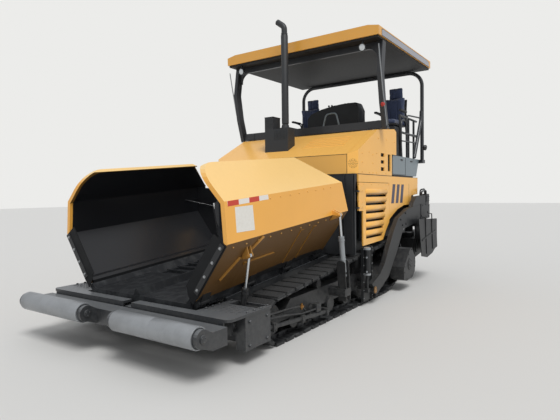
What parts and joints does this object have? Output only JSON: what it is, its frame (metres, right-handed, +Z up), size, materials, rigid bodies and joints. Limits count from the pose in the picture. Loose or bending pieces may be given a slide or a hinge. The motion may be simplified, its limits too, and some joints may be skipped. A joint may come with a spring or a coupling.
{
  "type": "asphalt paver",
  "caption": "Tracked asphalt paver with folding hopper wings, push rollers, twin conveyors and augers, canopied platform and a raised extending screed.",
  "frame": {"origin": "on the ground, in the middle of the overall length and width", "axes": "+X to the machine's left as its driver faces, -Y towards the hopper and push rollers, +Z up"},
  "size_m": [2.88, 6.506, 4.1343],
  "materials": {
    "yellow_paint": "semi-gloss machine paint",
    "grey_paint": "satin dark grey machine paint",
    "light_grey_paint": "satin grey machine paint",
    "black_paint": "satin black paint",
    "track_steel": "worn dusty steel and rubber pads",
    "roller_steel": "turned steel, satin",
    "rod_chrome": "polished piston rod",
    "auger_steel": "worn cast steel",
    "liner": "black hopper lining and rubber flap",
    "engine_block": "painted casting",
    "cover_vinyl": "dark vinyl cover",
    "seat_cloth": "navy seat fabric"
  },
  "bodies": {
    "machine": {"chassis": "grey_paint", "front_frame": "grey_paint", "push_beam": "grey_paint", "track_left": "track_steel", "track_right": "track_steel", "track_frame_left": "track_steel", "track_frame_right": "track_steel", "hopper_floor": "grey_paint", "conveyor": "track_steel", "bulkhead": "black_paint", "engine": "engine_block", "hood": "yellow_paint", "upper_box_left": "yellow_paint", "upper_box_right": "yellow_paint", "side_panel_left": "yellow_paint", "side_panel_right": "yellow_paint", "platform": "grey_paint", "platform_sides": "light_grey_paint", "console": "cover_vinyl", "seat_left": "seat_cloth", "seat_right": "seat_cloth", "handrails": "grey_paint", "front_portal": "grey_paint", "rear_hoop": "grey_paint", "canopy_roof": "yellow_paint", "canopy_lining": "black_paint", "exhaust": "black_paint", "intake_box": "black_paint", "tow_guides": "grey_paint", "auger_beam": "grey_paint", "cylinder_post_left": "grey_paint", "cylinder_post_right": "grey_paint"},
    "roller_left": {"push_roller_left": "roller_steel"},
    "wing_left": {"wing_left": "yellow_paint", "wing_liner_left": "liner"},
    "front_barrel_left": {"front_barrel_left": "grey_paint"},
    "front_rod_left": {"front_rod_left": "rod_chrome"},
    "rear_barrel_left": {"rear_barrel_left": "grey_paint"},
    "rear_rod_left": {"rear_rod_left": "rod_chrome"},
    "door_left": {"side_door_left": "yellow_paint"},
    "lift_barrel_left": {"lift_barrel_left": "grey_paint"},
    "lift_rod_left": {"lift_rod_left": "rod_chrome"},
    "auger_left": {"auger_left": "auger_steel"},
    "extension_left": {"screed_ext_left": "grey_paint"},
    "roller_right": {"push_roller_right": "roller_steel"},
    "wing_right": {"wing_right": "yellow_paint", "wing_liner_right": "liner"},
    "front_barrel_right": {"front_barrel_right": "grey_paint"},
    "front_rod_right": {"front_rod_right": "rod_chrome"},
    "rear_barrel_right": {"rear_barrel_right": "grey_paint"},
    "rear_rod_right": {"rear_rod_right": "rod_chrome"},
    "door_right": {"side_door_right": "yellow_paint"},
    "lift_barrel_right": {"lift_barrel_right": "grey_paint"},
    "lift_rod_right": {"lift_rod_right": "rod_chrome"},
    "auger_right": {"auger_right": "auger_steel"},
    "extension_right": {"screed_ext_right": "grey_paint"},
    "tow_blocks": {"tow_blocks": "grey_paint"},
    "screed": {"tow_arms": "grey_paint", "screed": "grey_paint"}
  },
  "joints": [
    {"name": "roller_left_spin", "type": "hinge", "parent": "machine", "child": "roller_left", "pos_m": [0.7255, -3.158, 0.402], "axis": [1, 0, 0], "continuous": true},
    {"name": "wing_left_fold", "type": "hinge", "parent": "machine", "child": "wing_left", "pos_m": [0.787, -1.54057, 0.62259], "axis": [0, -0.9962, -0.0872], "range_deg": [-18, 28]},
    {"name": "front_barrel_left_tilt", "type": "hinge", "parent": "machine", "child": "front_barrel_left", "pos_m": [0.98, -2.29948, 0.29018], "axis": [0, -0.9962, -0.0872], "range_deg": [-12.65, 19.4]},
    {"name": "front_rod_left_slide", "type": "slide", "parent": "front_barrel_left", "child": "front_rod_left", "axis": [0.2244, -0.0849, 0.9708], "range_m": [-0.0721, 0.111]},
    {"name": "rear_barrel_left_tilt", "type": "hinge", "parent": "machine", "child": "rear_barrel_left", "pos_m": [1.29, -0.70368, 0.52014], "axis": [0, -0.9962, -0.0872], "range_deg": [-13.46, 20.66]},
    {"name": "rear_rod_left_slide", "type": "slide", "parent": "rear_barrel_left", "child": "rear_rod_left", "axis": [-0.0312, -0.0871, 0.9957], "range_m": [-0.1523, 0.2358]},
    {"name": "door_left_swing", "type": "hinge", "parent": "machine", "child": "door_left", "pos_m": [1.224, -0.119, 1.23], "axis": [0, 0, -1], "range_deg": [0, 100]},
    {"name": "auger_left_turn", "type": "hinge", "parent": "machine", "child": "auger_left", "pos_m": [0.63, 1.863, 0.48], "axis": [1, 0, 0], "continuous": true},
    {"name": "lift_barrel_left_tilt", "type": "hinge", "parent": "machine", "child": "lift_barrel_left", "pos_m": [1.08, 1.943, 1.45], "axis": [1, 0, 0], "range_deg": [-2.5, 0.7]},
    {"name": "lift_rod_left_slide", "type": "slide", "parent": "lift_barrel_left", "child": "lift_rod_left", "axis": [0, 0.3162, -0.9487], "range_m": [-0.03, 0.3]},
    {"name": "extension_left_slide", "type": "slide", "parent": "screed", "child": "extension_left", "axis": [1, 0, 0], "range_m": [0, 0.8]},
    {"name": "roller_right_spin", "type": "hinge", "parent": "machine", "child": "roller_right", "pos_m": [-0.7255, -3.158, 0.402], "axis": [1, 0, 0], "continuous": true},
    {"name": "wing_right_fold", "type": "hinge", "parent": "machine", "child": "wing_right", "pos_m": [-0.787, -1.54057, 0.62259], "axis": [0, 0.9962, 0.0872], "range_deg": [-18, 28]},
    {"name": "front_barrel_right_tilt", "type": "hinge", "parent": "machine", "child": "front_barrel_right", "pos_m": [-0.98, -2.29948, 0.29018], "axis": [0, 0.9962, 0.0872], "range_deg": [-12.65, 19.4]},
    {"name": "front_rod_right_slide", "type": "slide", "parent": "front_barrel_right", "child": "front_rod_right", "axis": [-0.2244, -0.0849, 0.9708], "range_m": [-0.0721, 0.111]},
    {"name": "rear_barrel_right_tilt", "type": "hinge", "parent": "machine", "child": "rear_barrel_right", "pos_m": [-1.29, -0.70368, 0.52014], "axis": [0, 0.9962, 0.0872], "range_deg": [-13.46, 20.66]},
    {"name": "rear_rod_right_slide", "type": "slide", "parent": "rear_barrel_right", "child": "rear_rod_right", "axis": [0.0312, -0.0871, 0.9957], "range_m": [-0.1523, 0.2358]},
    {"name": "door_right_swing", "type": "hinge", "parent": "machine", "child": "door_right", "pos_m": [-1.224, -0.119, 1.23], "axis": [0, 0, 1], "range_deg": [0, 100]},
    {"name": "auger_right_turn", "type": "hinge", "parent": "machine", "child": "auger_right", "pos_m": [-0.63, 1.863, 0.48], "axis": [1, 0, 0], "continuous": true},
    {"name": "lift_barrel_right_tilt", "type": "hinge", "parent": "machine", "child": "lift_barrel_right", "pos_m": [-1.08, 1.943, 1.45], "axis": [1, 0, 0], "range_deg": [-2.5, 0.7]},
    {"name": "lift_rod_right_slide", "type": "slide", "parent": "lift_barrel_right", "child": "lift_rod_right", "axis": [0, 0.3162, -0.9487], "range_m": [-0.03, 0.3]},
    {"name": "extension_right_slide", "type": "slide", "parent": "screed", "child": "extension_right", "axis": [-1, 0, 0], "range_m": [0, 0.8]},
    {"name": "tow_point_slide", "type": "slide", "parent": "machine", "child": "tow_blocks", "axis": [0, 0, 1], "range_m": [-0.1, 0]},
    {"name": "screed_lift", "type": "hinge", "parent": "tow_blocks", "child": "screed", "pos_m": [0, 0.123, 0.205], "axis": [1, 0, 0], "range_deg": [-8, 0.5]}
  ],
  "couplings": [
    {"joint": "front_barrel_left_tilt", "follows": "wing_left_fold", "ratio": 0.675},
    {"joint": "front_rod_left_slide", "follows": "wing_left_fold", "m_per_rad": 0.223},
    {"joint": "rear_barrel_left_tilt", "follows": "wing_left_fold", "ratio": 0.72},
    {"joint": "rear_rod_left_slide", "follows": "wing_left_fold", "m_per_rad": 0.4784},
    {"joint": "lift_barrel_left_tilt", "follows": "screed_lift", "ratio": 0.24},
    {"joint": "lift_rod_left_slide", "follows": "screed_lift", "m_per_rad": -2.11},
    {"joint": "front_barrel_right_tilt", "follows": "wing_right_fold", "ratio": 0.675},
    {"joint": "front_rod_right_slide", "follows": "wing_right_fold", "m_per_rad": 0.223},
    {"joint": "rear_barrel_right_tilt", "follows": "wing_right_fold", "ratio": 0.72},
    {"joint": "rear_rod_right_slide", "follows": "wing_right_fold", "m_per_rad": 0.4784},
    {"joint": "lift_barrel_right_tilt", "follows": "screed_lift", "ratio": 0.24},
    {"joint": "lift_rod_right_slide", "follows": "screed_lift", "m_per_rad": -2.11}
  ]
}
